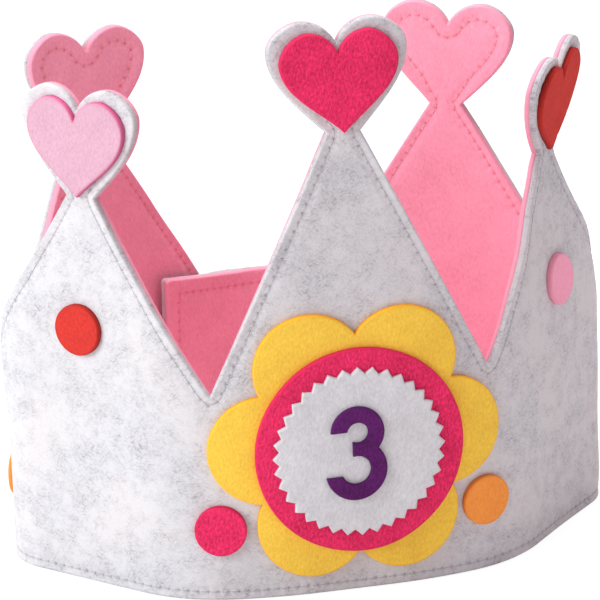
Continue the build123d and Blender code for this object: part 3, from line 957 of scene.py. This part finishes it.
def digit_outline(flower):
    """Outline of the numeral three: two bowls that share a bar, open on the left."""
    middle = flower.disc_height
    upper = np.array([flower.bowl_shift / 2, middle + flower.digit_height / 2 - flower.upper_bowl])
    lower = np.array([-flower.bowl_shift / 2, middle - flower.digit_height / 2 + flower.lower_bowl])
    gap_top, gap_bottom = middle + flower.terminal_gap / 2, middle - flower.terminal_gap / 2

    def arc(middle, radius, start, stop, count):
        angle = np.linspace(start, stop, count)
        return middle + radius * np.stack([np.cos(angle), np.sin(angle)], 1)

    def height_angle(middle, radius, height):
        return np.arcsin((height - middle[1]) / radius)

    def side_angle(middle, radius, x):
        return np.arccos((x - middle[0]) / radius)

    # Where the outer circles of the two bowls cross on the right
    apart = lower - upper
    between = np.linalg.norm(apart)
    along = (between**2 + flower.upper_bowl**2 - flower.lower_bowl**2) / (2 * between)
    cross = upper + apart / between * along
    cross = cross + np.array([-apart[1], apart[0]]) / between * (flower.upper_bowl**2 - along**2) ** 0.5
    upper_in, lower_in = flower.upper_bowl - flower.stroke, flower.lower_bowl - flower.stroke
    notch_upper = np.arctan2(*(cross - upper)[::-1])
    notch_lower = np.arctan2(*(cross - lower)[::-1])
    upper_end = pi - height_angle(upper, flower.upper_bowl, gap_top)
    lower_end = -pi - height_angle(lower, flower.lower_bowl, gap_bottom)
    upper_in_end = pi - height_angle(upper, upper_in, max(gap_top, upper[1] - upper_in * 0.999))
    lower_in_end = -pi - height_angle(lower, lower_in, min(gap_bottom, lower[1] + lower_in * 0.999))
    upper_bar = -side_angle(upper, upper_in, -flower.bar_reach)
    lower_bar = side_angle(lower, lower_in, -flower.bar_reach)
    arcs = [
        arc(upper, flower.upper_bowl, upper_end, notch_upper, 50),
        arc(lower, flower.lower_bowl, notch_lower, lower_end, 60)[1:],
        arc(lower, lower_in, lower_in_end, lower_bar, 32),
        arc(upper, upper_in, upper_bar, upper_in_end, 28),
    ]
    return subdivided(np.concatenate(arcs)[::-1], DIGIT_STEP)


class CROWN_OT_flower(bpy.types.Operator):
    """Make the felt flower, its two discs and its number, each on the one before"""

    bl_idname = "crown.flower"
    bl_label = "Flower"

    def execute(self, context):
        scene = context.scene
        plan, flower = scene.crown_plan, scene.crown_flower
        strip = Strip(scene)
        disc = ring_outline(flower.disc_radius, flower.disc_height, DISC_SIDES)
        layers = [
            ("flower", "yellow_felt", flower.shift, plan.patch, flower_outline(flower)),
            ("medallion_disc", "raspberry_felt", flower.disc_shift, plan.patch, disc),
            ("pinked_disc", "white_felt", flower.pinked_shift, plan.thin_patch, zigzag_outline(flower)),
            ("digit_three", "purple_felt", flower.digit_shift, plan.thin_patch, digit_outline(flower)),
        ]
        low, under = plan.felt, "outer_felt"
        for node, slot, station, thickness, outline in layers:
            add_patch(scene, strip, node, slot, station, low, thickness, outline, under)
            low, under = low + thickness, node
        return {"FINISHED"}


class CROWN_OT_tapes(bpy.types.Operator):
    """Make the two closure tapes between the overlapping ends"""

    bl_idname = "crown.tapes"
    bl_label = "Closure tapes"

    def execute(self, context):
        scene = context.scene
        plan = scene.crown_plan
        strip = Strip(scene)
        material = closure_tape(scene.crown_colours)
        start = strip.left_end + (strip.overlap - plan.tape_length) / 2
        low = (scene.crown_points.end_height - plan.tape_width) / 2
        corners = [(start, low), (start + plan.tape_length, low)]
        corners += [(x, z + plan.tape_width) for x, z in reversed(corners)]
        outline = subdivided(corners, TAPE_STEP)
        face = -plan.felt
        for node, carrier in (("loop_tape", "inner_lining"), ("hook_tape", "outer_felt")):
            name, under = f"{node}_strip", face - plan.tape_thickness
            piece = felt_sheet(name, strip, outline, face, under, plan.tape_rim, TAPE_MESH)
            dress(piece, node, material)
            face = under
        return {"FINISHED"}


def seen_share(tree):
    """One for rays from the camera, also by way of gloss or glass, and nought for light on surfaces."""
    path = add(tree, "LightPath").node.outputs
    found = path["Is Camera Ray"]
    for label in ("Is Glossy Ray", "Is Transmission Ray"):
        found = add(tree, "Math", {0: found, 1: path[label]}, operation="MAXIMUM")
    return found


class CROWN_OT_stage(bpy.types.Operator):
    """Make the floor, the soft lights and the camera"""

    bl_idname = "crown.stage"
    bl_label = "Stage"

    def execute(self, context):
        scene = context.scene
        scene.view_settings.view_transform = "Standard"
        # White seen by the camera, and a plain grey-white level as light on the felt
        world = bpy.data.worlds.new("studio")
        scene.world = world
        world.use_nodes = True
        tree = world.node_tree
        tree.nodes.clear()
        light = add(tree, "Background", {"Color": opaque(linear(ROOM_TINT)), "Strength": ROOM_LEVEL})
        white = add(tree, "Background", {"Color": (1, 1, 1, 1), "Strength": 1.0})
        both = add(tree, "MixShader", {0: seen_share(tree), 1: light, 2: white})
        add(tree, "OutputWorld", {"Surface": both})
        # Matt white sweep: seen as white paper that keeps a faint shadow
        material, tree = blank("white paper sweep")
        paper = add(tree, "BsdfDiffuse", {"Color": (0.8, 0.8, 0.8, 1)})
        faint = add(tree, "BsdfDiffuse", {"Color": (0.2, 0.2, 0.2, 1)})
        glow = add(tree, "Emission", {"Color": (1, 1, 1, 1), "Strength": 0.88})
        shown = add(tree, "AddShader", {0: faint, 1: glow})
        both = add(tree, "MixShader", {0: seen_share(tree), 1: paper, 2: shown})
        add(tree, "OutputMaterial", {"Surface": both})
        floor = bpy.data.meshes.new("floor")
        corners = [(x * FLOOR_REACH, y * FLOOR_REACH, 0) for x, y in ((-1, -1), (1, -1), (1, 1), (-1, 1))]
        floor.from_pydata(corners, [], [(0, 1, 2, 3)])
        floor.materials.append(material)
        sweep = bpy.data.objects.new("floor", floor)
        scene.collection.objects.link(sweep)
        for name, place, size, power, tint in LAMPS:
            lamp = bpy.data.lights.new(name, "AREA")
            lamp.color = linear(tint)
            lamp.shape = "SQUARE"
            lamp.size = size
            lamp.energy = power
            holder = bpy.data.objects.new(name, lamp)
            holder.location = place
            holder.rotation_euler = (Vector(LAMP_AIM) - Vector(place)).to_track_quat("-Z", "Y").to_euler()
            scene.collection.objects.link(holder)
        # The photograph's viewpoint
        azimuth, elevation, roll = (radians(angle) for angle in CAMERA_ANGLES)
        back = Vector((sin(azimuth) * cos(elevation), -cos(azimuth) * cos(elevation), sin(elevation)))
        right = Vector((cos(azimuth), sin(azimuth), 0))
        up = back.cross(right)
        across = right * cos(roll) + up * sin(roll)
        above = up * cos(roll) - right * sin(roll)
        data = bpy.data.cameras.new("camera")
        data.lens, data.sensor_width, data.clip_end = CAMERA_LENS, CAMERA_SENSOR, CAMERA_CLIP
        camera = bpy.data.objects.new("camera", data)
        turned = Matrix((across, above, back)).transposed().to_4x4()
        target = Vector(CAMERA_TARGET) * MM
        camera.matrix_world = Matrix.Translation(target + back * CAMERA_DISTANCE * MM) @ turned
        scene.collection.objects.link(camera)
        scene.camera = camera
        return {"FINISHED"}


class CROWN_PT_sidebar(bpy.types.Panel):
    """Settings and steps of the crown"""

    bl_label = "Felt crown"
    bl_space_type = "VIEW_3D"
    bl_region_type = "UI"
    bl_category = "Crown"

    def draw(self, context):
        for step in STEPS:
            self.layout.operator(step.bl_idname)
        for label, group in GROUPS.items():
            box = self.layout.box()
            box.label(text=group.__name__)
            for setting in group.__annotations__:
                box.prop(getattr(context.scene, label), setting)


STEPS = (CROWN_OT_strip, CROWN_OT_hearts, CROWN_OT_dots, CROWN_OT_flower, CROWN_OT_tapes, CROWN_OT_stage)
CLASSES = (*GROUPS.values(), *STEPS, CROWN_PT_sidebar)


def register():
    """Adds the classes and the scene's settings."""
    for kind in CLASSES:
        bpy.utils.register_class(kind)
    for label, group in GROUPS.items():
        setattr(bpy.types.Scene, label, PointerProperty(type=group))


def unregister():
    """Takes the settings and the classes away again."""
    for label in GROUPS:
        delattr(bpy.types.Scene, label)
    for kind in reversed(CLASSES):
        bpy.utils.unregister_class(kind)


def main():
    """Runs each step in order."""
    register()
    bpy.ops.crown.strip()
    bpy.ops.crown.hearts()
    bpy.ops.crown.dots()
    bpy.ops.crown.flower()
    bpy.ops.crown.tapes()
    bpy.ops.crown.stage()


if __name__ == "__main__":
    main()
